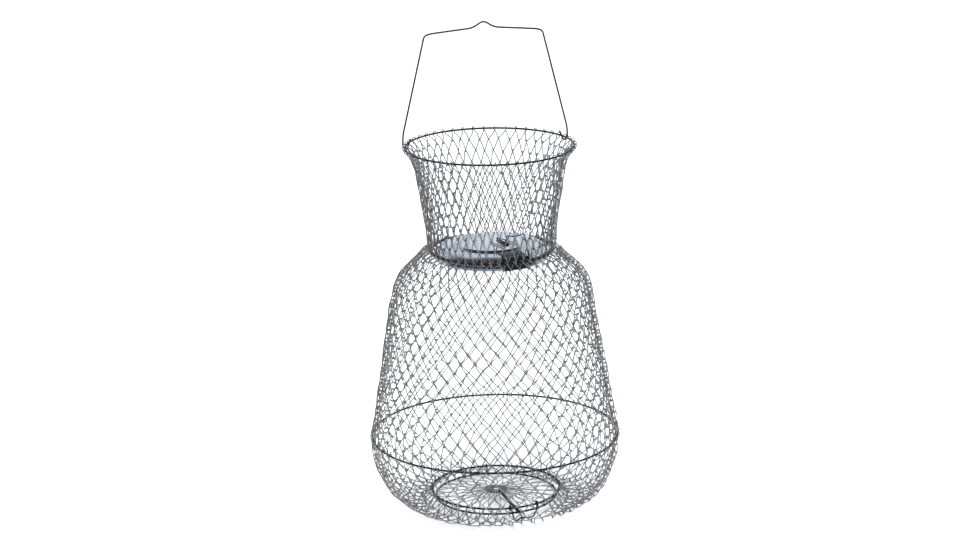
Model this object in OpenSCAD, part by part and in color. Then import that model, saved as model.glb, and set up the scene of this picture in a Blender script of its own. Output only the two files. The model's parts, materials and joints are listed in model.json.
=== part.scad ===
// Collapsible wire-mesh trap basket.
// Five wire hoops carry a steel mesh skin: mouth, neck, belly, bottom and door hoops.
// Each hoop drops onto the one below it, so the basket folds flat in three stages.
// The mesh is built as rings of plain shell that slide inside one another as it folds.
// Origin: centre of the resting face, +Z up. The view that shows the bail flat is along +Y.

/* [Hoops] */
// Radius of the mouth hoop, to the wire's centre
mouth_r = 111; // [105:1:116]
// Radius of the neck hoop, to the wire's centre
neck_r = 80.5; // [80:0.5:81.5]
// Radius of the belly hoop, to the wire's centre
belly_r = 165; // [162:1:170]
// Radius of the bottom hoop, to the wire's centre
bottom_r = 86.5; // [86:0.5:87.5]
// Radius of the door hoop, to the wire's centre
door_r = 81; // [80:0.5:82]
// Radius of the hoop wire
hoop_wire = 1.3; // [1.1:0.1:1.4]

/* [Heights] */
// Height of the mouth hoop above the floor
mouth_z = 487; // [480:1:495]
// Height of the neck hoop above the floor
neck_z = 348; // [345:1:350]
// Height of the belly hoop above the floor
belly_z = 92; // [90:1:95]
// Height of the bottom hoop above the floor
bottom_z = 14; // [13:0.5:15]
// Height of the door hoop above the floor
door_z = 5; // [4.5:0.5:5.5]

/* [Mesh] */
// Thickness of the shell that stands for the mesh
mesh_t = 1.6; // [1:0.1:1.7]
// Radial step from one mesh band to the next
band_step = 2.2; // [2:0.1:2.4]
// Number of mesh bands between the belly hoop and the shoulder
body_bands = 7; // [7]
// Number of plain mesh bands in the collar, under its flared band
collar_bands = 4; // [4]

/* [Bail] */
// Height of the bail's peak above the mouth hoop
bail_h = 161; // [140:1:170]
// Half width of the bail across its top corners
bail_half_w = 78.5; // [60:0.5:85]
// Radius of the bail wire
bail_wire = 1.2; // [1:0.1:1.3]
// Turn of the bail's chord about the vertical
bail_turn = 10; // [-20:1:20]
// Distance of the bail's chord behind the centre
bail_back = 30; // [25:1:34]

/* [Lid] */
// Radius of the lid's skirt, to the sheet's middle
lid_r = 75.5; // [75:0.1:75.8]
// Depth of the lid's rim below the neck hoop
lid_drop = 12.6; // [11:0.1:13]
// Height of the lid's flat top above the neck hoop
lid_rise = 10.1; // [9:0.1:11]
// Direction of the lid's hinge, seen from above
lid_turn = -65; // [-75:1:-55]
// Height of the lever's crossbar above the hinge pin
lever_h = 32.5; // [25:0.5:36]

/* [Door] */
// Direction of the door's hinge, seen from above
door_turn = 109.5; // [105:0.5:115]
// Direction of the latch's middle, seen from above
latch_turn = -64.5; // [-66:0.5:-63]
// Radius of the small hoop that gathers the door's mesh
hub_r = 13; // [12:0.5:14]

/* [Hidden] */
$fn = 96;

steel = "#4a4d50";
dark_steel = "#232527";
bright_steel = "#b9bec4";

// heights where one mesh band ends and the next begins
band_gap = 0.5;
bowl_foot_r = 100;
floor_edge = [bowl_foot_r + 13, 2.15];
mesh_r = belly_r - 1;
base_z = [0, belly_z / 3, belly_z * 2 / 3, belly_z - 2.5];
body_z0 = belly_z + 2.5;
shoulder_z = 302;
body_taper = 0.1692;
collar_z0 = neck_z + 1.8;
collar_band_h = 27;

// radius of the bowl under the belly hoop: a quarter ellipse standing on the floor
function bowl_r(z) = bowl_foot_r + (mesh_r - bowl_foot_r) * sqrt(1 - pow(1 - z / belly_z, 2));
// radius of the body between the belly hoop and the shoulder: a plain taper
function body_r(z) = mesh_r - (z - belly_z) * body_taper;
// radius of the collar above the neck hoop: it opens faster as it rises
function collar_r(z) = neck_r + 1 + 14.5 * pow((z - neck_z - 1) / 108, 1.3);
function body_band_z(k) = body_z0 + (shoulder_z - body_z0) * k / body_bands;
function collar_band_z(k) = collar_z0 + collar_band_h * k;

// geometry of the three hinges, each in its own turned frame
pin_u = 75;
pin_z = neck_z + 3.5;
pin_wire = 1.2;
knuckle_r = 2.2;
leaf_thick = 0.9;
pocket_u = 70.4;
pocket_half = 18.2;
lid_rivet = [27.6, 10.3];
door_half_angle = 12;
door_axis_u = door_r * cos(door_half_angle);
door_axis_t = door_r * sin(door_half_angle);
latch_half_angle = 13.2;
latch_axis_u = bottom_r * cos(latch_half_angle);
latch_axis_t = bottom_r * sin(latch_half_angle);
latch_wire_r = 1;
dip_u = 99.4;
dip_z = 4.4;
spring_turn = door_turn - 180;
hook_r = 3.4;
bail_hook_x = sqrt(mouth_r * mouth_r - bail_back * bail_back);

// ---------- small helpers ----------

function unit(v) = v / norm(v);

// replaces each inner corner of a path by a short curve
function soft_path(p, round, steps) = [
    p[0],
    for (i = [1 : len(p) - 2])
        let (
            before = p[i - 1] - p[i],
            after = p[i + 1] - p[i],
            cut = min(round, norm(before) / 2, norm(after) / 2),
            a = p[i] + unit(before) * cut,
            b = p[i] + unit(after) * cut
        )
        for (s = [0 : steps])
            let (f = s / steps)
            a * (1 - f) * (1 - f) + p[i] * 2 * f * (1 - f) + b * f * f,
    p[len(p) - 1]
];

// points of an arc in the plane of u and z, at a fixed t
function turn_points(u, t, z, r, from, to, steps) = [
    for (s = [0 : steps])
        let (a = from + (to - from) * s / steps)
        [u + r * cos(a), t, z + r * sin(a)]
];

// a round wire along a path; up is a direction that the path never follows
module wire(path, r, up = [0, 0, 1], sides = 8, closed = false) {
    n = len(path);
    rings = [
        for (i = [0 : n - 1])
            let (
                before = closed ? path[(i + n - 1) % n] : path[max(i - 1, 0)],
                after = closed ? path[(i + 1) % n] : path[min(i + 1, n - 1)],
                along = unit(after - before),
                side = unit(cross(along, up)),
                top = cross(side, along)
            )
            for (j = [0 : sides - 1])
                path[i] + r * (cos(360 * j / sides) * side + sin(360 * j / sides) * top)
    ];
    spans = closed ? n : n - 1;
    walls = [
        for (i = [0 : spans - 1])
            for (j = [0 : sides - 1])
                let (
                    a = i * sides + j,
                    b = i * sides + (j + 1) % sides,
                    c = ((i + 1) % n) * sides + (j + 1) % sides,
                    d = ((i + 1) % n) * sides + j
                )
                each [[a, b, c], [a, c, d]]
    ];
    first_cap = [for (j = [0 : sides - 1]) sides - 1 - j];
    last_cap = [for (j = [0 : sides - 1]) (n - 1) * sides + j];
    polyhedron(points = rings, faces = closed ? walls : concat(walls, [first_cap, last_cap]), convexity = 6);
}

// outline of a thin wall whose middle follows the points of p
function wall_outline(p, t) =
    let (
        n = len(p),
        normals = [
            for (i = [0 : n - 1])
                let (d = unit(p[min(i + 1, n - 1)] - p[max(i - 1, 0)]))
                [d[1], -d[0]]
        ]
    )
    concat(
        [for (i = [0 : n - 1]) p[i] + normals[i] * t / 2],
        [for (i = [n - 1 : -1 : 0]) p[i] - normals[i] * t / 2]
    );

module shell(p, t = mesh_t) {
    rotate_extrude() polygon(wall_outline(p, t));
}

module hoop(r, z, wire_r = hoop_wire) {
    translate([0, 0, z]) rotate_extrude() translate([r, 0]) circle(r = wire_r, $fn = 32);
}

// a block given by its ranges along u, t and z
module block(u0, u1, t0, t1, z0, z1) {
    translate([u0, t0, z0]) cube([u1 - u0, t1 - t0, z1 - z0]);
}

// ---------- hoops ----------

module bottom_ring() color(dark_steel) hoop(bottom_r, bottom_z);

module belly_ring() color(dark_steel) hoop(belly_r, belly_z);

module neck_ring() color(dark_steel) hoop(neck_r, neck_z);

module top_ring() color(dark_steel) hoop(mouth_r, mouth_z);

module door_ring() color(dark_steel) hoop(door_r, door_z);

module door_hub_ring() color(dark_steel) hoop(hub_r, 11, 1);

// sleeve that joins the two ends of the belly hoop's wire
module belly_ring_sleeve() {
    sleeve_angle = 2.8;
    color(dark_steel)
    translate([0, 0, belly_z]) rotate([0, 0, -98.5 - sleeve_angle / 2])
    rotate_extrude(angle = sleeve_angle) translate([belly_r, 0])
    difference() {
        circle(r = 2.1, $fn = 32);
        circle(r = hoop_wire, $fn = 32);
    }
}

// ---------- mesh bands ----------

// point of the bowl's curve at height z, moved out at the foot of band k and in at its top
function bowl_point(k, f) =
    let (
        low = base_z[k - 1],
        high = base_z[k] - (k < 3 ? band_gap : 0),
        z = low + (high - low) * (k == 1 ? f * f : f),
        top_shift = k < 3 ? band_step / 2 : 0
    )
    [bowl_r(z) + band_step / 2 * (1 - f) - top_shift * f, z];

// bowl: band 1 starts where the floor ends
module base_mesh(k) {
    steps = 6;
    color(steel)
    shell([
        if (k == 1) floor_edge + [0.6, 0.16],
        for (s = [(k == 1 ? 2 : 0) : steps]) bowl_point(k, s / steps)
    ]);
}

// floor: from under the bottom hoop down to a flat ring, with a gap for the latch
module base_floor_mesh() {
    flat = mesh_t / 2;
    color(steel)
    difference() {
        shell([
            [bottom_r + 2.1, bottom_z - 0.8], [93, 5], [97, 1.8],
            [bowl_foot_r, flat], [bowl_foot_r + 2, flat], [bowl_foot_r + 6, flat], [bowl_foot_r + 8, flat],
            floor_edge
        ]);
        rotate([0, 0, latch_turn]) block(80, bowl_foot_r + 14, -27, 27, -1, 30);
        for (side = [-1, 1])
            rotate([0, 0, door_turn]) translate([86, side * door_axis_t, bottom_z])
            cube([10, 4.4, 10], center = true);
    }
}

module base_mesh_1() base_mesh(1);
module base_mesh_2() base_mesh(2);
module base_mesh_3() base_mesh(3);

// body: each band sits just inside the one below, so that it can drop into it
module body_mesh(k) {
    low = body_band_z(k - 1);
    high = body_band_z(k) - band_gap;
    low_in = k > 1 ? band_step / 2 : 0;
    color(steel) shell([[body_r(low) - low_in, low], [body_r(high) + band_step / 2, high]]);
}

module body_mesh_1() body_mesh(1);
module body_mesh_2() body_mesh(2);
module body_mesh_3() body_mesh(3);
module body_mesh_4() body_mesh(4);
module body_mesh_5() body_mesh(5);
module body_mesh_6() body_mesh(6);
module body_mesh_7() body_mesh(7);

module shoulder_mesh() {
    color(steel)
    shell([[body_r(shoulder_z) - 1.4, shoulder_z], [122.5, 310], [115, 318.5], [105.8, 328]]);
}

// under the neck hoop the mesh bulges out, which leaves the lid room to swing
module neck_mesh() {
    color(steel)
    shell([
        [102, neck_z - 18.2], [97, neck_z - 12], [93.8, neck_z - 6],
        [91.5, neck_z - 1.8], [neck_r + 2, neck_z - 0.4]
    ]);
}

// collar: each band sits just outside the one below
module collar_mesh(k) {
    low = collar_band_z(k - 1);
    high = collar_band_z(k) - band_gap;
    low_out = k > 1 ? band_step / 2 : 0;
    color(steel) shell([[collar_r(low) + low_out, low], [collar_r(high) - band_step / 2, high]]);
}

module collar_mesh_1() collar_mesh(1);
module collar_mesh_2() collar_mesh(2);
module collar_mesh_3() collar_mesh(3);
module collar_mesh_4() collar_mesh(4);

// flared band under the mouth hoop, with one open cell for each of the bail's hooks
module collar_mesh_5() {
    low = collar_band_z(collar_bands);
    color(steel)
    difference() {
        shell([
            [collar_r(low) + band_step / 2, low],
            [mouth_r - 9.5, mouth_z - 14],
            [mouth_r - 1.2, mouth_z - 1.4]
        ]);
        rotate([0, 0, bail_turn])
        for (side = [-1, 1])
            translate([side * bail_hook_x, bail_back + 3.5, mouth_z - 8]) cube([26, 25, 20], center = true);
    }
}

// ---------- bail ----------

// half of the bail from its peak to the tip of the hook, at the right-hand end
module bail_handle() {
    tip = [bail_hook_x - hook_r - 3.4, 0, 8];
    leg_foot = [bail_hook_x + hook_r, 0, 2];
    hook = [
        for (s = [0 : 8])
            let (a = 180 + 180 * s / 8)
            [bail_hook_x + hook_r * cos(a), 0, hook_r * sin(a)]
    ];
    frame = soft_path([
        leg_foot,
        [bail_hook_x + hook_r - 0.3, 0, 14],
        [bail_half_w, 0, bail_h - 15],
        [bail_half_w - 8, 0, bail_h - 12.5],
        [14, 0, bail_h - 7.5],
        [0, 0, bail_h + 2],
        [-14, 0, bail_h - 7.5],
        [8 - bail_half_w, 0, bail_h - 12.5],
        [-bail_half_w, 0, bail_h - 15],
        [0.3 - bail_hook_x - hook_r, 0, 14],
        [-bail_hook_x - hook_r, 0, 2]
    ], 7, 6);
    other_hook = [for (i = [len(hook) - 1 : -1 : 0]) [-hook[i][0], 0, hook[i][2]]];
    color(dark_steel)
    translate([0, 0, mouth_z]) rotate([0, 0, bail_turn]) translate([0, bail_back, 0])
    wire(concat([tip], hook, frame, other_hook, [[-tip[0], 0, tip[2]]]), bail_wire, [0, 1, 0], 10);
}

// ---------- lid ----------

// middle line of the lid's sheet: flat top, a step down, a round shoulder and a plain skirt
function lid_line() =
    let (
        top = neck_z + lid_rise,
        flat_r = 46.2,
        step = 2.9,
        bend_r = 60,
        bend_low = neck_z - 7.5,
        bend_top = top - step - 0.5
    )
    concat(
        [
            [flat_r, top], [flat_r + 1.3, top - 0.35], [flat_r + 1.9, top - 2.5],
            [flat_r + 3.4, top - step], [bend_r - 5, top - step - 0.2]
        ],
        [
            for (a = [90 : -10 : 0])
                [bend_r + (lid_r - bend_r) * cos(a), bend_low + (bend_top - bend_low) * sin(a)]
        ],
        [[lid_r - 0.1, bend_low - 2.5], [lid_r - 0.7, neck_z - lid_drop]]
    );

// stamped dish with a pocket in its edge, where the hinge sits
module lid_dish() {
    sheet = 0.8;
    line = lid_line();
    low = neck_z - lid_drop;
    color(bright_steel) {
        difference() {
            shell(concat([[0, neck_z + lid_rise]], line), sheet);
            rotate([0, 0, lid_turn])
            block(pocket_u - sheet / 2, 90, -pocket_half, pocket_half, low - 5, pin_z + 20);
        }
        intersection() {
            rotate_extrude() polygon(concat([[0, low], [0, neck_z + lid_rise]], line, [[lid_r - 0.7, low]]));
            rotate([0, 0, lid_turn]) difference() {
                block(pocket_u - sheet, 90, -pocket_half - sheet, pocket_half + sheet, low, pin_z + 20);
                block(pocket_u, 91, -pocket_half, pocket_half, low - 1, pin_z + 21);
            }
        }
    }
}

// bracket welded inside the neck hoop: a short strip with two ears that hold the pin
module lid_bracket() {
    half_w = 17.1;
    ear_thick = 1;
    strip_r = neck_r - hoop_wire - 0.05;
    strip_angle = asin(half_w / strip_r);
    color(dark_steel)
    rotate([0, 0, lid_turn])
    difference() {
        union() {
            translate([0, 0, neck_z - 3]) rotate([0, 0, -strip_angle])
            rotate_extrude(angle = 2 * strip_angle) translate([strip_r - 0.85, 0]) square([0.85, 3.9]);
            for (side = [-1, 1])
                translate([0, side * (half_w - ear_thick / 2) + ear_thick / 2, 0]) rotate([90, 0, 0])
                linear_extrude(ear_thick) hull() {
                    translate([pin_u, pin_z]) circle(r = 2.6, $fn = 32);
                    translate([pin_u + 1.6, neck_z - 2.4]) square([0.4, 5.6]);
                }
        }
        translate([pin_u, 0, pin_z]) rotate([90, 0, 0]) cylinder(r = pin_wire + 0.02, h = 60, center = true);
    }
}

module lid_hinge_pin() {
    color(bright_steel)
    rotate([0, 0, lid_turn]) translate([pin_u, 0, pin_z]) rotate([90, 0, 0])
    cylinder(r = pin_wire, h = 43, center = true);
}

// hinge plate: a leaf on the lid's shoulder, two knuckles on the pin, and a flange down the pocket
module lid_hinge_plate() {
    knuckle_t = 13.5;
    knuckle_w = 4.6;
    window_t = 10.2;
    leaf_t = knuckle_t + knuckle_w / 2;
    flange_u = pocket_u + 0.05;
    top = neck_z + lid_rise;
    under = [
        [50.8, top - 2.5], [59, top - 2.75], [64, top - 3.4], [68, top - 4.85],
        [71, top - 5.1], [pin_u, pin_z + knuckle_r - leaf_thick]
    ];
    over = [for (i = [len(under) - 1 : -1 : 0]) under[i] + [0, leaf_thick]];
    color(dark_steel)
    rotate([0, 0, lid_turn])
    difference() {
        union() {
            translate([0, leaf_t, 0]) rotate([90, 0, 0])
            linear_extrude(2 * leaf_t) polygon(concat(under, over));
            block(flange_u, flange_u + leaf_thick - 0.1, -leaf_t, leaf_t, neck_z - lid_drop + 0.5, top - 4.8);
            for (side = [-1, 1])
                translate([pin_u, side * knuckle_t, pin_z]) rotate([90, 0, 0])
                cylinder(r = knuckle_r, h = knuckle_w, center = true);
        }
        translate([pin_u, 0, pin_z]) rotate([90, 0, 0]) cylinder(r = pin_wire + 0.06, h = 60, center = true);
        block(flange_u + leaf_thick - 0.1, 80, -window_t, window_t, pin_z - 4, pin_z + 5);
    }
}

// thumb lever: a wire bent up from both ends of the pin, with a shallow dip in its crossbar
module lid_lever() {
    eye = 2.1;
    foot_t = 19.2;
    left_eye = turn_points(pin_u, -foot_t, pin_z, eye, -150, 150, 12);
    right_eye = turn_points(pin_u, foot_t, pin_z, eye, 150, -150, 12);
    top = pin_z + lever_h;
    bar = soft_path([
        [pin_u - 2.1, -foot_t + 0.4, pin_z + 3.5],
        [pin_u - 1, -12.5, top],
        [pin_u - 1, 0, top - 2.6],
        [pin_u - 1, 12.5, top],
        [pin_u - 2.1, foot_t - 0.4, pin_z + 3.5]
    ], 3, 5);
    color(dark_steel)
    rotate([0, 0, lid_turn])
    wire(concat(left_eye, bar, right_eye), 0.8, [1, 0, 0.02]);
}

// torsion spring: its coil sits on the pin, and its long leg runs over the lid's top,
// turns back, passes the rivet and ends in a second turn
module lid_spring() {
    leg_z = neck_z + lid_rise + 1.6;
    leg_t = 6.5;
    by_rivet_t = lid_rivet[1] - 3.1;
    leg = soft_path([
        [pin_u - 1.9, leg_t, pin_z + 1.6],
        [pin_u - 5.5, leg_t, pin_z + 6.1],
        [60, 9, leg_z],
        [34, 21.5, leg_z],
        [-4, 13, leg_z + 0.3],
        [-6, 9.5, leg_z + 0.3],
        [10, by_rivet_t + 0.4, leg_z],
        [lid_rivet[0], by_rivet_t, leg_z],
        [36, 3, leg_z],
        [38, -2, leg_z],
        [7, -5.5, leg_z]
    ], 2.5, 4);
    color(steel)
    rotate([0, 0, lid_turn]) {
        translate([pin_u, 0, pin_z]) rotate([90, 0, 0])
        difference() {
            cylinder(r = 2.5, h = 18.8, center = true);
            cylinder(r = pin_wire + 0.3, h = 20, center = true);
        }
        wire(leg, 0.7);
    }
}

// rivet on the lid's top that anchors the spring's leg
module lid_spring_eye() {
    color(dark_steel)
    rotate([0, 0, lid_turn]) translate([lid_rivet[0], lid_rivet[1], neck_z + lid_rise + 0.4]) {
        cylinder(r = 2.3, h = 1.4);
        cylinder(r = 1.2, h = 2.6);
    }
}

// ---------- bottom door ----------

// shallow cone of mesh between the door hoop and the hub hoop, relieved at the hinge clips
module door_mesh() {
    color(steel)
    difference() {
        shell([[door_r - 2.2, door_z + 0.4], [hub_r + 2.2, 10.6]], 1.4);
        rotate([0, 0, door_turn]) block(72.5, 90, -24, 24, 0, 20);
    }
}

// wire loop that ties the door hoop to the bottom hoop and lets it turn
module door_clip(side) {
    bottom_u = sqrt(bottom_r * bottom_r - door_axis_t * door_axis_t);
    slope = atan2(bottom_z - door_z, bottom_u - door_axis_u);
    eye = 2.9;
    t = side * door_axis_t;
    color(dark_steel)
    rotate([0, 0, door_turn])
    wire(concat(
        turn_points(door_axis_u, t, door_z, eye, slope + 90, slope + 270, 8),
        turn_points(bottom_u, t, bottom_z, eye, slope - 90, slope + 90, 8)
    ), 0.7, [0, 1, 0], 8, true);
}

module door_clip_left() door_clip(-1);
module door_clip_right() door_clip(1);

// extension spring: the outer shape of its coil, an eye round the hub hoop, and an open hook
// that passes under the latch's dip
module door_spring() {
    from = [17, 0, 13.5];
    to = [90, 0, 8.6];
    run = to - from;
    grip = 2.1;
    spring_wire = 0.7;
    coil_r = 2.2;
    hook = turn_points(dip_u + 0.4, 0, dip_z - 0.4, grip, 140, 330, 8);
    hub_eye = turn_points(hub_r, 0, 11, grip, 60, 310, 8);
    color(steel)
    rotate([0, 0, spring_turn]) {
        translate(from) rotate([0, 90 - atan2(run[2], run[0]), 0])
        cylinder(r = coil_r, h = norm(run), $fn = 48);
        wire(concat([to - unit(run) * 1.5, to, [93.5, 0, 7.4]], hook), spring_wire, [0, 1, 0]);
        wire(concat([from + unit(run) * 1.5, from], hub_eye), spring_wire, [0, 1, 0]);
    }
}

// latch: a wire loop hung on the bottom hoop, with a dip where the spring hooks in
module latch_wire() {
    eye = 3;
    leave = 54;
    left_eye = turn_points(latch_axis_u, -latch_axis_t, bottom_z, eye, leave + 290, leave, 12);
    right_eye = turn_points(latch_axis_u, latch_axis_t, bottom_z, eye, leave, leave + 290, 12);
    bar = soft_path([
        [96, -21, 5.4],
        [102, -22, 1.4],
        [98.9, -10, dip_z],
        [100.5, 0, 2.4],
        [95, 9, 1.4],
        [91.5, 15, 7.5]
    ], 4, 5);
    color(dark_steel)
    rotate([0, 0, latch_turn])
    wire(concat(left_eye, bar, right_eye), latch_wire_r, [0.3, 0, 1]);
}

bottom_ring();
base_floor_mesh();
base_mesh_1();
door_clip_left();
door_clip_right();
base_mesh_2();
belly_ring();
belly_ring_sleeve();
base_mesh_3();
body_mesh_1();
body_mesh_2();
body_mesh_3();
body_mesh_4();
body_mesh_5();
body_mesh_6();
body_mesh_7();
shoulder_mesh();
neck_ring();
neck_mesh();
collar_mesh_1();
lid_bracket();
lid_hinge_pin();
collar_mesh_2();
collar_mesh_3();
collar_mesh_4();
top_ring();
collar_mesh_5();
bail_handle();
lid_dish();
lid_hinge_plate();
lid_lever();
lid_spring();
lid_spring_eye();
door_ring();
door_mesh();
door_hub_ring();
door_spring();
latch_wire();
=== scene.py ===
"""Looks of the collapsible wire trap basket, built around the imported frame.

Lengths in this file are millimetres until they reach Blender, which takes metres.
Each mesh row is one zigzag wire whose bends hook through the bends of the rows beside it.
"""
import json
import math

import bpy
import numpy as np
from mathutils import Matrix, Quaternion, Vector


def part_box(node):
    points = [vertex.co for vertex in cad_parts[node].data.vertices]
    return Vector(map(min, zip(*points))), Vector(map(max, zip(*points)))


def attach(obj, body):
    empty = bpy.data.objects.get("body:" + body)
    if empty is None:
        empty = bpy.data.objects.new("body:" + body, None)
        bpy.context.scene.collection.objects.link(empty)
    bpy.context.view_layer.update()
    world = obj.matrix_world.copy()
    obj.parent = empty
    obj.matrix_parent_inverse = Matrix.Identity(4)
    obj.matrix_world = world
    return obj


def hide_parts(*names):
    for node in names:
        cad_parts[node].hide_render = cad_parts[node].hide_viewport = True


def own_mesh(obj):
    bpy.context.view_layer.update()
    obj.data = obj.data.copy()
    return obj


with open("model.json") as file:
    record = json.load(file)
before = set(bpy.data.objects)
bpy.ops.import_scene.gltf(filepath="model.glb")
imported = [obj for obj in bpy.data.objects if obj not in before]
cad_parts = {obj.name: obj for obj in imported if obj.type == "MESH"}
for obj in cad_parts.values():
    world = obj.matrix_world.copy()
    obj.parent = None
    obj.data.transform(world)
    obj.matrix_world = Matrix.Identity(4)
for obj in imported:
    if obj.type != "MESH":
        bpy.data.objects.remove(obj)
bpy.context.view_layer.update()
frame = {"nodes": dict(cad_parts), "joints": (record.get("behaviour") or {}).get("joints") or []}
scene = bpy.context.scene
MM = 0.001
rng = np.random.default_rng(7)
joints = {j["name"]: j for j in frame["joints"]}


# ---------- sizes read from the frame ----------


def hoop_of(node):
    """Centre-line radius, height and wire radius of a hoop that lies flat, in mm."""
    low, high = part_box(node)
    wire = (high.z - low.z) / 2
    return (high.x - low.x) / 2 / MM - wire / MM, (high.z + low.z) / 2 / MM, wire / MM


mouth_r, mouth_z, hoop_wire = hoop_of("top_ring")
neck_r, neck_z = hoop_of("neck_ring")[:2]
belly_r, belly_z = hoop_of("belly_ring")[:2]
bottom_r, bottom_z = hoop_of("bottom_ring")[:2]
door_r, door_z = hoop_of("door_ring")[:2]
hub_r, hub_z, hub_wire = hoop_of("door_hub_ring")


# ---------- wire tubes ----------


def unit(v):
    """The vector's direction, one long."""
    v = np.asarray(v, float)
    return v / np.linalg.norm(v)


def carried_sides(points, closed):
    """Tangents and side directions along a path, carried from point to point without twist."""
    if closed:
        tangent = np.roll(points, -1, 0) - np.roll(points, 1, 0)
    else:
        tangent = np.gradient(points, axis=0)
    tangent /= np.linalg.norm(tangent, axis=1)[:, None]
    count = len(points)
    side = np.empty_like(points)
    start = np.cross(tangent[0], [0, 0, 1])
    if np.linalg.norm(start) < 0.1:
        start = np.cross(tangent[0], [1, 0, 0])
    side[0] = unit(start)
    for i in range(1, count):
        s = side[i - 1] - tangent[i] * (side[i - 1] @ tangent[i])
        side[i] = s / math.sqrt(s @ s)
    top = np.cross(side, tangent)
    if closed:
        last = unit(side[-1] - tangent[0] * (side[-1] @ tangent[0]))
        twist = math.atan2(last @ top[0], last @ side[0])
        turn = -twist * np.arange(count) / count
        c, s = np.cos(turn)[:, None], np.sin(turn)[:, None]
        side, top = side * c + top * s, top * c - side * s
    return tangent, side, top


def tube(points, radius, sides=6, closed=False):
    """Vertices (mm) and faces of a round wire. An open wire gets rounded ends."""
    points = np.asarray(points, float)
    tangent, side, top = carried_sides(points, closed)
    size = np.full(len(points), float(radius))
    if not closed:
        reach = np.array([[0.95], [0.6]]) * radius
        ends = [0.3 * radius, 0.8 * radius]
        before, after = points[0] - tangent[0] * reach, points[-1] + tangent[-1] * reach[::-1]
        points = np.vstack([before, points, after])
        size = np.concatenate([ends, size, ends[::-1]])
        side = np.vstack([side[:1], side[:1], side, side[-1:], side[-1:]])
        top = np.vstack([top[:1], top[:1], top, top[-1:], top[-1:]])
    angle = 2 * math.pi * np.arange(sides) / sides
    ring = (
        side[:, None, :] * np.cos(angle)[None, :, None]
        + top[:, None, :] * np.sin(angle)[None, :, None]
    )
    verts = (points[:, None, :] + ring * size[:, None, None]).reshape(-1, 3)
    count = len(points)
    spans = count if closed else count - 1
    i = np.repeat(np.arange(spans), sides)
    j = np.tile(np.arange(sides), spans)
    k = (i + 1) % count
    jn = (j + 1) % sides
    faces = np.stack([i * sides + j, k * sides + j, k * sides + jn, i * sides + jn], 1).tolist()
    if not closed:
        faces.append(list(range(sides)))
        faces.append([(count - 1) * sides + q for q in reversed(range(sides))])
    return verts, faces


def joined(parts):
    """Several (vertices, faces) pairs as one."""
    verts, faces, start = [], [], 0
    for v, f in parts:
        verts.append(v)
        faces += [[q + start for q in face] for face in f]
        start += len(v)
    return np.vstack(verts), faces


def piece(name, shape, material, body, replaces=()):
    """A mesh object of the given shape (mm) that rides on a body."""
    verts, faces = shape
    mesh = bpy.data.meshes.new(name)
    mesh.from_pydata((np.asarray(verts) * MM).tolist(), [], faces)
    mesh.polygons.foreach_set("use_smooth", [True] * len(mesh.polygons))
    mesh.materials.append(material)
    mesh.update()
    obj = bpy.data.objects.new(name, mesh)
    scene.collection.objects.link(obj)
    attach(obj, body)
    if replaces:
        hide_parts(*replaces)
    return obj


def soft_path(points, cut, steps=6):
    """A path whose inner corners are rounded, starting cut mm (at most) from each."""
    points = [np.asarray(p, float) for p in points]
    out = [points[0]]
    for before, here, after in zip(points, points[1:], points[2:]):
        u, v = before - here, after - here
        reach = min(cut, np.linalg.norm(u) / 2, np.linalg.norm(v) / 2)
        a, b = here + unit(u) * reach, here + unit(v) * reach
        for f in np.linspace(0, 1, steps + 1):
            out.append(a * (1 - f) ** 2 + here * 2 * f * (1 - f) + b * f * f)
    return out + [points[-1]]


def arc(u, t, z, r, start, end, steps=16):
    """Points of an arc in the plane of u and z, at a fixed t, with angles in degrees."""
    angles = np.radians(np.linspace(start, end, steps + 1))
    return [np.array([u + r * math.cos(a), t, z + r * math.sin(a)]) for a in angles]


def turned(points, degrees):
    """Points turned about the vertical."""
    a = math.radians(degrees)
    p = np.asarray(points, float)
    x = p[:, 0] * math.cos(a) - p[:, 1] * math.sin(a)
    y = p[:, 0] * math.sin(a) + p[:, 1] * math.cos(a)
    return np.stack([x, y, p[:, 2]], 1)


def coil(start, end, radius, pitch, points_per_turn=12, phase=0.0):
    """Centre line of a close-wound coil between two points."""
    start, end = np.asarray(start, float), np.asarray(end, float)
    along = end - start
    length = np.linalg.norm(along)
    along /= length
    side = unit(np.cross(along, [0, 0, 1]))
    top = np.cross(side, along)
    turns = length / pitch
    f = np.linspace(0, 1, int(turns * points_per_turn) + 1)
    a = 2 * math.pi * turns * f + phase
    return (
        start
        + along * (length * f)[:, None]
        + side * (radius * np.cos(a))[:, None]
        + top * (radius * np.sin(a))[:, None]
    )


# ---------- materials ----------


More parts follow.
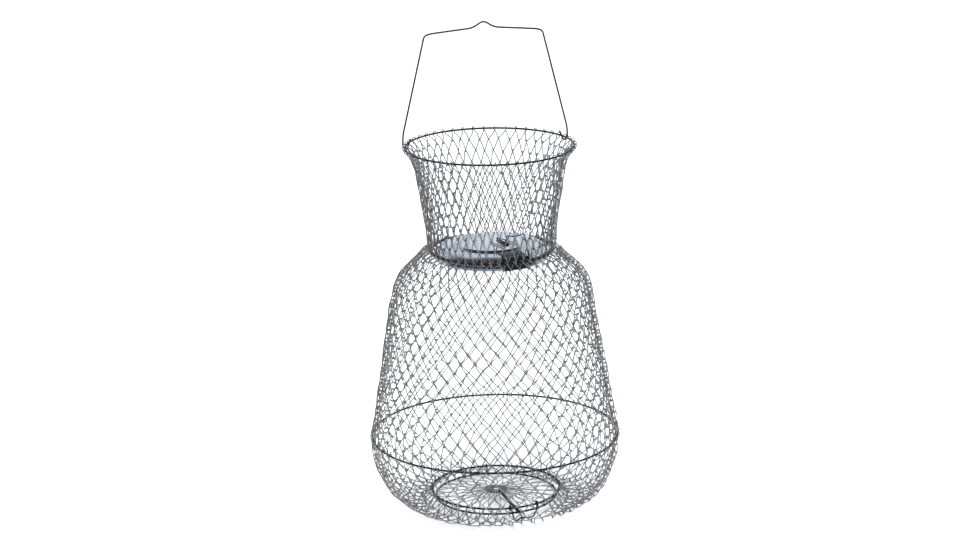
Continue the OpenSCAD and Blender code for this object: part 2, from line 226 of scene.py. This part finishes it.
def metal(name, color, light, metallic, rough, patch_mm, grain_mm, bump_mm, shine=0.5):
    """Metal whose colour, gloss and surface vary: patches of two tones over a fine grain.

    patch_mm and grain_mm are the sizes of the patches and the grain, and bump_mm is the
    grain's depth. rough is the range of the roughness.
    """
    mat = bpy.data.materials.new(name)
    mat.use_nodes = True
    nodes, links = mat.node_tree.nodes, mat.node_tree.links
    shader = nodes["Principled BSDF"]
    shader.inputs["Metallic"].default_value = metallic
    shader.inputs["Specular IOR Level"].default_value = shine
    where = nodes.new("ShaderNodeTexCoord").outputs["Object"]
    patches = nodes.new("ShaderNodeTexNoise")
    patches.inputs["Scale"].default_value = 1 / (patch_mm * MM)
    patches.inputs["Detail"].default_value = 5
    patches.inputs["Roughness"].default_value = 0.6
    links.new(where, patches.inputs["Vector"])
    grain = nodes.new("ShaderNodeTexNoise")
    grain.inputs["Scale"].default_value = 1 / (grain_mm * MM)
    grain.inputs["Detail"].default_value = 3
    links.new(where, grain.inputs["Vector"])
    tone = nodes.new("ShaderNodeValToRGB")
    tone.color_ramp.elements[0].position = 0.36
    tone.color_ramp.elements[0].color = (*color, 1)
    tone.color_ramp.elements[1].position = 0.66
    tone.color_ramp.elements[1].color = (*light, 1)
    links.new(patches.outputs["Fac"], tone.inputs["Fac"])
    links.new(tone.outputs["Color"], shader.inputs["Base Color"])
    gloss = nodes.new("ShaderNodeMapRange")
    gloss.inputs["From Min"].default_value = 0.3
    gloss.inputs["From Max"].default_value = 0.7
    gloss.inputs["To Min"].default_value = rough[0]
    gloss.inputs["To Max"].default_value = rough[1]
    links.new(grain.outputs["Fac"], gloss.inputs["Value"])
    links.new(gloss.outputs["Result"], shader.inputs["Roughness"])
    relief = nodes.new("ShaderNodeBump")
    relief.inputs["Strength"].default_value = 0.6
    relief.inputs["Distance"].default_value = bump_mm * MM
    links.new(grain.outputs["Fac"], relief.inputs["Height"])
    links.new(relief.outputs["Normal"], shader.inputs["Normal"])
    return mat


MESH_STEEL = metal(
    "mesh_steel", (0.175, 0.175, 0.177), (0.35, 0.35, 0.352), 0.7, (0.32, 0.5), 9, 0.5, 0.03
)
HOOP_STEEL = metal(
    "hoop_steel", (0.008, 0.008, 0.009), (0.022, 0.022, 0.024), 0.2, (0.34, 0.5), 14, 0.6, 0.03,
    shine=0.25,
)
BAIL_STEEL = metal(
    "bail_steel", (0.016, 0.016, 0.018), (0.045, 0.045, 0.048), 0.4, (0.32, 0.48), 14, 0.6, 0.03
)
LID_CHROME = metal(
    "lid_chrome", (0.62, 0.68, 0.75), (0.70, 0.76, 0.82), 1.0, (0.13, 0.2), 26, 1.2, 0.003
)
HINGE_STEEL = metal(
    "hinge_steel", (0.012, 0.016, 0.026), (0.03, 0.037, 0.055), 0.6, (0.26, 0.42), 8, 0.7, 0.03
)
PIN_STEEL = metal(
    "pin_steel", (0.5, 0.52, 0.55), (0.65, 0.67, 0.7), 1.0, (0.15, 0.28), 6, 0.5, 0.02
)
SPRING_STEEL = metal(
    "spring_steel", (0.03, 0.032, 0.036), (0.08, 0.083, 0.09), 0.8, (0.25, 0.4), 6, 0.5, 0.02
)


# ---------- woven mesh ----------

CELLS = 48  # bends round a row
STEP = 2 * math.pi / CELLS
WIRE = 0.7  # wire radius
LEG = 16.5  # length of one straight run of wire
APART = 1.9  # how far a bend's two legs stand off the profile, inside and out
HOOK = 0.9  # how far a bend reaches past its level into the next row
CLEAR = 0.04  # between a bend and the hoop it goes round
FLOOR_GAP = 0.02  # between the lowest wire and the floor
SPLINE_STEPS = 24


class Profile:
    """A smooth line of (radius, height) points, measured along its length in mm."""

    def __init__(self, points):
        p = np.asarray(points, float)
        p = np.vstack([2 * p[0] - p[1], p, 2 * p[-1] - p[-2]])
        out = []
        for a, b, c, d in zip(p, p[1:], p[2:], p[3:]):
            square, cube = 2 * a - 5 * b + 4 * c - d, 3 * b - 3 * c + d - a
            for f in np.linspace(0, 1, SPLINE_STEPS, endpoint=False):
                out.append(0.5 * (2 * b + (c - a) * f + square * f**2 + cube * f**3))
        out.append(p[-2])
        self.line = np.array(out)
        steps = np.linalg.norm(np.diff(self.line, axis=0), axis=1)
        self.s = np.concatenate([[0], np.cumsum(steps)])
        self.length = self.s[-1]
        slope = np.gradient(self.line, axis=0)
        self.slope = slope / np.linalg.norm(slope, axis=1)[:, None]

    def at(self, s):
        """Radius, height and outward normal at length s."""
        past = s - np.clip(s, 0, self.length)
        r, z, tr, tz = (
            np.interp(s, self.s, column)
            for column in (self.line[:, 0], self.line[:, 1], self.slope[:, 0], self.slope[:, 1])
        )
        return r + past * tr, z + past * tz, tz, -tr

    def levels(self):
        """Lengths at which one row of mesh hands over to the next."""
        reach, out = 0.0, [0.0]
        while reach < self.length:
            r = float(self.at(reach)[0])
            reach += math.sqrt(LEG**2 - (math.pi * r / CELLS) ** 2)
            out.append(reach)
        if out[-1] - self.length > self.length - out[-2]:
            out.pop()
        return np.array(out) * self.length / out[-1]


def bend(kind, radius, room, loose=0.0, past=0.0, apart=APART):
    """Offsets (round, along, out) of a bend at the bottom of a row; the top one is its mirror.

    kind is "hoop" for a bend round a hoop whose wire has that radius, or "plain" for one in the
    mesh. A bend round a hoop stands off it by loose and reaches past it by past. The legs of a
    plain bend stand apart from the profile. room is the width of a cell at the bend.
    """
    half = min(0.8, 0.22 * room)
    if kind == "hoop":
        hug = radius + WIRE + CLEAR + loose
        return np.array(
            [
                (-half, hug + 1.2, 0.62 * hug),
                (-0.5 * half, 0.35 * hug, 0.97 * hug),
                (-0.25 * half, -0.7 * hug - 0.6 * past, 0.72 * hug),
                (0, -hug - past, 0),
                (0.25 * half, -0.7 * hug - 0.6 * past, -0.72 * hug),
                (0.5 * half, 0.35 * hug, -0.97 * hug),
                (half, hug + 1.2, -0.62 * hug),
            ]
        )
    return np.array(
        [
            (-half, HOOK + 0.3, apart),
            (-0.3 * half, -0.6 * HOOK, 0.8 * apart),
            (0, -HOOK, 0),
            (0.3 * half, -0.6 * HOOK, -0.8 * apart),
            (half, HOOK + 0.3, -apart),
        ]
    )


def weave(
    profile,
    phase,
    first_hoop,
    last_hoop,
    uneven=1.0,
    wave=0.0,
    lengths=None,
    gap=None,
    gap_rows=0,
    cells=CELLS,
    wire=WIRE,
    loose=(0.0, 0.0),
    past=0.0,
    apart=APART,
):
    """One closed wire for each row of a section.

    phase is the angle (radians) of the first level's bends. first_hoop and last_hoop are the
    wire radii of the hoops at the section's ends. uneven is how far the bends stray, and wave
    is how far the whole sheet does, both in mm. lengths are the levels, if they aren't the
    profile's own. gap is an angle range (radians) that the first gap_rows rows leave open.
    loose is how far the first and the last bends stand off their hoops.
    """
    lengths = profile.levels() if lengths is None else lengths
    step = 2 * math.pi / cells
    rows = len(lengths) - 1
    spread = []
    for level in range(rows + 1):
        edge = level in (0, rows)
        share = 0.0 if edge else uneven
        spread.append(rng.uniform(-1, 1, (cells, 3)) * [share, share, 0.6 * share])
    wires = []
    for row in range(rows):
        low, high = lengths[row], lengths[row + 1]
        r_low, r_high = float(profile.at(low)[0]), float(profile.at(high)[0])
        below, above = ("hoop" if row == end else "plain" for end in (0, rows - 1))
        foot = bend(below, first_hoop, r_low * step, loose[0], past, apart)
        crown = bend(above, last_hoop, r_high * step, loose[1], 0, apart) * [1, -1, -1]
        turn, along, out = [], [], []
        shift = row % 2
        bow = rng.uniform(-1, 1, (cells, 4)) * uneven
        for j in range(cells):
            a0 = phase + (j + 0.5 * shift) * step
            a1 = a0 + 0.5 * step
            low_off = spread[row][j]
            high_off = spread[row + 1][(j + shift) % cells]
            for da, ds, dn in foot:
                turn.append(a0 + (da + low_off[0]) / r_low)
                along.append(low + ds + low_off[1])
                out.append(dn + low_off[2])
            middle = (turn[-1] + a1 + (high_off[0] - 1) / r_high) / 2
            turn.append(middle + 0.35 * bow[j, 0] / r_low)
            along.append((low + high) / 2 + 0.5 * bow[j, 1])
            out.append(-apart * 0.9 + 0.3 * bow[j, 2])
            for da, ds, dn in crown:
                turn.append(a1 + (da + high_off[0]) / r_high)
                along.append(high + ds + high_off[1])
                out.append(dn + high_off[2])
        turn, along, out = np.array(turn), np.array(along), np.array(out)
        closed = True
        if gap is not None and row < gap_rows:
            per = len(foot) + 1 + len(crown)
            middle = math.atan2(math.sin(sum(gap) / 2), math.cos(sum(gap) / 2))
            half = abs(gap[1] - gap[0]) / 2
            cell_angle = turn.reshape(cells, per).mean(1)
            away = np.abs(np.angle(np.exp(1j * (cell_angle - middle)))) > half
            start = next(q for q in range(cells) if away[q] and not away[q - 1])
            order = [(start + q) % cells for q in range(int(away.sum()))]
            pick = np.concatenate([np.arange(q * per, (q + 1) * per) for q in order])
            turn, along, out = turn[pick], along[pick], out[pick]
            closed = False
        r, z, nr, nz = profile.at(along)
        fade = np.sin(np.pi * np.clip(along / profile.length, 0, 1)) ** 0.5
        r = r + wave * fade * (
            np.sin(3 * turn + along / 31)
            + 0.6 * np.sin(5 * turn - along / 19 + 1.3)
            + 0.5 * np.sin(11 * turn + along / 11)
        )
        r, z = r + out * nr, np.maximum(z + out * nz, wire + FLOOR_GAP)
        path = np.stack([r * np.cos(turn), r * np.sin(turn), z], 1)
        wires.append(tube(path, wire, 6, closed))
    return wires


def section(name, wires, groups, body, replaces, fold=None):
    """Pieces made of neighbouring rows that ride on the body; when a fold is named, each piece
    gets a mesh of its own.
    """
    bounds = np.linspace(0, len(wires), groups + 1).astype(int)
    for g in range(groups):
        label = name if groups == 1 else f"{name}_{g + 1}"
        shape = joined(wires[bounds[g] : bounds[g + 1]])
        obj = piece(label, shape, MESH_STEEL, body, replaces)
        if fold:
            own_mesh(obj)


latch_axis = Vector(joints["latch_swing"]["pos_m"])
latch_turn = math.atan2(latch_axis.y, latch_axis.x)
gap_half = math.radians(17)

# bowl: from the bottom hoop down to the floor, then up to the belly hoop
bowl_line = [(bottom_r, bottom_z), (89.6, 8.5), (93.2, 4.0), (97.5, 1.95), (104, 1.72), (111, 2.1)]
foot_r = 100
for lift in (5, 11, 19, 29, 41, 54, 67, 80):
    bulge = math.sqrt(1 - (1 - lift / belly_z) ** 2)
    bowl_line.append((foot_r + (belly_r - 1 - foot_r) * bulge, lift))
bowl_line.append((belly_r, belly_z))
bowl = Profile(bowl_line)
bowl_levels = bowl.levels()
bowl_wires = weave(
    bowl,
    math.radians(2.95),
    hoop_wire,
    hoop_wire,
    1.8,
    wave=0.3,
    lengths=bowl_levels,
    gap=(latch_turn - gap_half, latch_turn + gap_half),
    gap_rows=2,
    wire=0.67,
    loose=(0.2, 0.9),
    apart=2.3,
)
section("floor_mesh", bowl_wires[:2], 1, "base", ["base_floor_mesh"])
section(
    "bowl_mesh",
    bowl_wires[2:],
    2,
    "base",
    ["base_mesh_1", "base_mesh_2", "base_mesh_3"],
    "base_fold",
)

# body: from the belly hoop up the taper, round the shoulder and in to the neck hoop
body_line = [
    (belly_r, belly_z), (163.4, 98), (158.9, 122), (152.7, 159), (145.9, 199), (139.0, 240),
    (132.6, 278), (129.8, 294), (127.0, 303), (122.0, 311.5), (114.6, 320), (105.6, 328.8),
    (97.4, 336.4), (93.2, 342), (90.0, 346.2), (neck_r, neck_z),
]
body = Profile(body_line)
bowl_rows = len(bowl_levels) - 1
# the bends at the neck hoop fall clear of the lid lever's eyes
belly_phase = math.radians(4.9) + (0.5 * (bowl_rows % 2) + 0.5) * STEP
body_wires = weave(
    body, belly_phase, hoop_wire, hoop_wire, 1.4, wave=0.8, loose=(0.9, 0.0), apart=2.7
)
body_nodes = [n for n in frame["nodes"] if n.startswith("body_mesh_")]
body_nodes += ["shoulder_mesh", "neck_mesh"]
section(
    "body_mesh_wire",
    body_wires,
    4,
    "belly",
    body_nodes,
    "body_fold",
)

# collar: from the neck hoop up to the flare under the mouth hoop
collar_line = [(neck_r, neck_z), (83.2, 353)]
for z in (366, 385, 405, 425, 445, 460):
    collar_line.append((neck_r + 1 + 14.5 * ((z - neck_z - 1) / 108) ** 1.3, z))
collar_line += [(99.6, 470), (103.8, 478.5), (mouth_r, mouth_z)]
collar = Profile(collar_line)
collar_phase = math.radians(-60)
collar_wires = weave(
    collar, collar_phase, hoop_wire, hoop_wire, 1.5, wave=0.5, loose=(0.0, 1.2), apart=2.4
)
section(
    "collar_mesh_wire",
    collar_wires,
    2,
    "neck",
    [n for n in frame["nodes"] if n.startswith("collar_mesh_")],
    "collar_fold",
)

# door: from the hub hoop out to the door hoop
door_line = [(hub_r, hub_z), (30, 9.6), (55, 7.4), (door_r, door_z)]
door = Profile(door_line)
door_levels = np.array([0, 0.3, 0.62, 1]) * door.length
door_rows = len(door_levels) - 1
door_cells = 26
door_phase = math.radians(4.5) + math.pi / door_cells * (door_rows % 2)
door_wires = weave(
    door,
    door_phase,
    hub_wire,
    hoop_wire,
    1.4,
    lengths=door_levels,
    cells=door_cells,
    wire=0.5,
    past=0.6 * hub_r,
)
section("door_mesh_wire", door_wires, 1, "door", ["door_mesh"])


# ---------- bail ----------

bail_turn, bail_back, bail_wire = 10, 30, 1.2
bail_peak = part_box("bail_handle")[1].z / MM - mouth_z - bail_wire
hook_x, hook_r = math.sqrt(mouth_r**2 - bail_back**2), 3.4
half_w = 78.5
half_bail = [
    (hook_x + hook_r, 0, 2),
    (hook_x + hook_r - 0.3, 0, 14),
    (half_w, 0, bail_peak - 16.5),
    (half_w - 8, 0, bail_peak - 14),
    (14, 0, bail_peak - 9),
    (0, 0, bail_peak + 0.5),
]
bail_frame = soft_path(half_bail + [(-x, y, z) for x, y, z in half_bail[-2::-1]], 7, 10)
hook = [(hook_x - hook_r - 3.4, 0, 8)] + arc(hook_x, 0, 0, hook_r, 180, 360, 14)
bail_path = hook + bail_frame + [(-p[0], p[1], p[2]) for p in reversed(hook)]
bail_path = turned(np.asarray(bail_path) + [0, bail_back, 0], bail_turn) + [0, 0, mouth_z]
piece("bail", tube(bail_path, bail_wire, 12), BAIL_STEEL, "bail", ["bail_handle"])


# ---------- lid fittings ----------

lid_hinge = Vector(joints["lid_open"]["pos_m"]) / MM
lid_turn = math.degrees(math.atan2(lid_hinge.y, lid_hinge.x))
pin_u, pin_z = math.hypot(lid_hinge.x, lid_hinge.y), lid_hinge.z
lid_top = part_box("lid_dish")[1].z / MM

lever_top = pin_z + 32.5
foot_t, shoulder_t, lever_eye, lever_wire = 19.2, 12.5, 2.1, 0.8
lever_path = (
    arc(pin_u, -foot_t, pin_z, lever_eye, -150, 150, 20)
    + soft_path(
        [
            (pin_u - 2.1, -foot_t + 0.4, pin_z + 3.5),
            (pin_u - 1, -shoulder_t, lever_top),
            (pin_u - 1, 0, lever_top - 2.6),
            (pin_u - 1, shoulder_t, lever_top),
            (pin_u - 2.1, foot_t - 0.4, pin_z + 3.5),
        ],
        3,
        8,
    )
    + arc(pin_u, foot_t, pin_z, lever_eye, 150, -150, 20)
)
lever_shape = tube(turned(lever_path, lid_turn), lever_wire, 10)
piece("lever", lever_shape, SPRING_STEEL, "lid", ["lid_lever"])

coil_half, coil_r, coil_wire = 9.4, 1.85, 0.62
leg_z = lid_top - 0.4 + 1.6
lid_coil = coil((pin_u, -coil_half, pin_z), (pin_u, coil_half - 1, pin_z), coil_r, 1.3, 16)
rivet_u, rivet_t = 27.6, 10.3
by_rivet_t = rivet_t - 3.1
leg = soft_path(
    [
        (pin_u - 1.9, 6.5, pin_z + 1.6),
        (pin_u - 5.5, 6.5, pin_z + 6.1),
        (60, 9, leg_z),
        (34, 21.5, leg_z),
        (-4, 13, leg_z + 0.3),
        (-6, 9.5, leg_z + 0.3),
        (10, by_rivet_t + 0.4, leg_z),
        (rivet_u, by_rivet_t, leg_z),
        (36, 3, leg_z),
        (38, -2, leg_z),
        (7, -5.5, leg_z),
    ],
    2.5,
    6,
)
twist = coil((27, 7.6, leg_z + 0.2), (0, 9.2, leg_z + 0.4), 0.9, 4.6, 14)
lid_spring = joined([tube(turned(p, lid_turn), coil_wire, 8) for p in (lid_coil, leg, twist)])
piece("lid_torsion_spring", lid_spring, SPRING_STEEL, "lid", ["lid_spring"])


# ---------- door fittings ----------

door_hinge = Vector(joints["door_open"]["pos_m"]) / MM
door_turn = math.degrees(math.atan2(door_hinge.y, door_hinge.x))
door_u = math.hypot(door_hinge.x, door_hinge.y)
door_t = math.sqrt(door_r**2 - door_u**2)
clip_u = math.sqrt(bottom_r**2 - door_t**2)
clip_r, clip_wire = 2.9, 0.7
slope = math.degrees(math.atan2(bottom_z - door_z, clip_u - door_u))
for side, label in ((-1, "left"), (1, "right")):
    loop = arc(door_u, side * door_t, door_z, clip_r, slope + 90, slope + 270, 12)
    loop += arc(clip_u, side * door_t, bottom_z, clip_r, slope - 90, slope + 90, 12)
    shape = tube(turned(loop, door_turn), clip_wire, 10, closed=True)
    piece(f"hinge_clip_{label}", shape, HOOP_STEEL, "base", [f"door_clip_{label}"])

spring_turn = door_turn - 180
spring_from, spring_to = np.array([17, 0, 13.5]), np.array([90, 0, 8.6])
spring_out, spring_wire, end_wire, end_r = 2.2, 0.6, 0.7, 2.1
run = unit(spring_to - spring_from)
door_coil = coil(spring_from, spring_to, spring_out - spring_wire, 1.22, 12)
hub_eye = [spring_from + run * 1.5, spring_from] + arc(hub_r, 0, 11, end_r, 60, 310)
latch_hook = [spring_to - run * 1.5, spring_to, np.array([93.5, 0, 7.4])]
latch_hook += arc(99.8, 0, 4.0, end_r, 140, 330)
door_spring = joined(
    [tube(turned(door_coil, spring_turn), spring_wire, 6)]
    + [tube(turned(p, spring_turn), end_wire, 8) for p in (hub_eye, latch_hook)]
)
piece("door_pull_spring", door_spring, SPRING_STEEL, "door", ["door_spring"])

latch_u = math.hypot(latch_axis.x, latch_axis.y) / MM
latch_t = math.sqrt(bottom_r**2 - latch_u**2)
latch_eye, latch_wire = 3, 1.0
latch_dip = [
    (96, -21, 5.4),
    (102, -22, 1.4),
    (98.9, -10, 4.4),
    (100.5, 0, 2.4),
    (95, 9, 1.4),
    (91.5, 15, 7.5),
]
latch_path = (
    arc(latch_u, -latch_t, bottom_z, latch_eye, 344, 54, 20)
    + soft_path(latch_dip, 4, 7)
    + arc(latch_u, latch_t, bottom_z, latch_eye, 54, 344, 20)
)
latch_shape = tube(turned(latch_path, math.degrees(latch_turn)), latch_wire, 10)
piece("latch", latch_shape, HOOP_STEEL, "latch", ["latch_wire"])


# ---------- materials of the CAD parts that stay ----------

KEPT = {
    "top_ring": HOOP_STEEL,
    "neck_ring": HOOP_STEEL,
    "belly_ring": HOOP_STEEL,
    "belly_ring_sleeve": HOOP_STEEL,
    "bottom_ring": HOOP_STEEL,
    "door_ring": HOOP_STEEL,
    "door_hub_ring": HOOP_STEEL,
    "lid_dish": LID_CHROME,
    "lid_hinge_plate": HINGE_STEEL,
    "lid_bracket": HINGE_STEEL,
    "lid_hinge_pin": PIN_STEEL,
    "lid_spring_eye": HINGE_STEEL,
}
for node, material in KEPT.items():
    mesh = frame["nodes"][node].data
    mesh.materials.clear()
    mesh.materials.append(material)


# ---------- stage, lights and camera ----------


def floor(name, half, z, color, rough):
    """A level square under the object, half metres from its middle to each side."""
    mesh = bpy.data.meshes.new(name)
    corners = [(-half, -half, z), (half, -half, z), (half, half, z), (-half, half, z)]
    mesh.from_pydata(corners, [], [(0, 1, 2, 3)])
    mat = bpy.data.materials.new(name)
    mat.use_nodes = True
    shader = mat.node_tree.nodes["Principled BSDF"]
    shader.inputs["Base Color"].default_value = (*color, 1)
    shader.inputs["Roughness"].default_value = rough
    shader.inputs["Specular IOR Level"].default_value = 0.2
    mesh.materials.append(mat)
    obj = bpy.data.objects.new(name, mesh)
    scene.collection.objects.link(obj)


floor("studio_floor", 40, -0.0005, (0.97, 0.973, 0.98), 0.7)


def smooth(value, low, high):
    """0 below low and 1 above high, with a smooth step between."""
    f = min(max((value - low) / (high - low), 0), 1)
    return f * f * (3 - 2 * f)


# degrees over the zenith, and degrees round from the front, where the dome brightens
DOME_OVER, DOME_SIDE = (85, 140), (62, 125)


def studio_dome(radius, centre_z, dark, bright):
    """What the metal reflects: dark in front, brighter past the zenith and at the sides.

    Only reflections see it. Its tones are fixed to the scene, not to the camera.
    """
    rows, columns = 40, 72
    verts, tones, faces = [], [], []
    for i in range(rows + 1):
        rise = math.radians(-90 + 180 * i / rows)
        for j in range(columns):
            turn = 2 * math.pi * j / columns
            x, y = math.cos(rise) * math.sin(turn), -math.cos(rise) * math.cos(turn)
            z = math.sin(rise)
            verts.append((radius * x, radius * y, centre_z + radius * z))
            climb = abs(math.degrees(rise))
            behind = smooth(abs(math.degrees(math.atan2(x, -y))), *DOME_SIDE)
            lift = smooth(climb + (180 - 2 * climb) * behind, *DOME_OVER)
            tones.append([d + (b - d) * lift for d, b in zip(dark, bright)] + [1])
    for i in range(rows):
        for j in range(columns):
            a, b = i * columns + j, i * columns + (j + 1) % columns
            faces.append((a, b, b + columns, a + columns))
    mesh = bpy.data.meshes.new("studio_dome")
    mesh.from_pydata(verts, [], faces)
    tone = mesh.color_attributes.new("tone", "FLOAT_COLOR", "POINT")
    tone.data.foreach_set("color", np.array(tones, dtype=np.float32).ravel())
    mat = bpy.data.materials.new("studio_dome")
    mat.use_nodes = True
    nodes, links = mat.node_tree.nodes, mat.node_tree.links
    nodes.remove(nodes["Principled BSDF"])
    read = nodes.new("ShaderNodeAttribute")
    read.attribute_name = "tone"
    glow = nodes.new("ShaderNodeEmission")
    links.new(read.outputs["Color"], glow.inputs["Color"])
    links.new(glow.outputs["Emission"], nodes["Material Output"].inputs["Surface"])
    mesh.materials.append(mat)
    obj = bpy.data.objects.new("studio_dome", mesh)
    scene.collection.objects.link(obj)
    for kind in ("camera", "diffuse", "shadow", "transmission", "volume_scatter"):
        setattr(obj, f"visible_{kind}", False)


studio_dome(1.0, 0.3, (0.02, 0.026, 0.04), (0.92, 0.95, 1.0))

world = bpy.data.worlds.new("studio")
scene.world = world
world.use_nodes = True
sky = world.node_tree.nodes["Background"]
sky.inputs["Color"].default_value = (0.94, 0.965, 1.0, 1)
sky.inputs["Strength"].default_value = 1.42


def area_light(name, place, target, size, power, color):
    """A square soft light that isn't seen in reflections."""
    lamp = bpy.data.lights.new(name, "AREA")
    lamp.shape = "SQUARE"
    lamp.size = size
    lamp.energy = power
    lamp.color = color
    obj = bpy.data.objects.new(name, lamp)
    scene.collection.objects.link(obj)
    obj.location = place
    obj.rotation_mode = "QUATERNION"
    obj.rotation_quaternion = (Vector(target) - Vector(place)).to_track_quat("-Z", "Y")
    obj.visible_glossy = False


area_light("key", (-2.2, -0.6, 3.6), (0, 0, 0.2), 1.8, 90, (1.0, 0.97, 0.93))

camera = bpy.data.cameras.new("camera")
eye = bpy.data.objects.new("camera", camera)
scene.collection.objects.link(eye)
scene.camera = eye
VIEW_PITCH = math.radians(15.4)
VIEW_DISTANCE = 3.6
VIEW_AIM = Vector((-0.004, 0, 0.312))
VIEW_ROLL = math.radians(-1.1)
back = Vector((0, -math.cos(VIEW_PITCH), math.sin(VIEW_PITCH)))
eye.location = VIEW_AIM + back * VIEW_DISTANCE
eye.rotation_mode = "QUATERNION"
look = (-back).to_track_quat("-Z", "Y")
eye.rotation_quaternion = look @ Quaternion((0, 0, 1), VIEW_ROLL)
camera.sensor_width = 36
camera.lens = 99.9
camera.clip_end = 200

scene.view_settings.view_transform = "Standard"
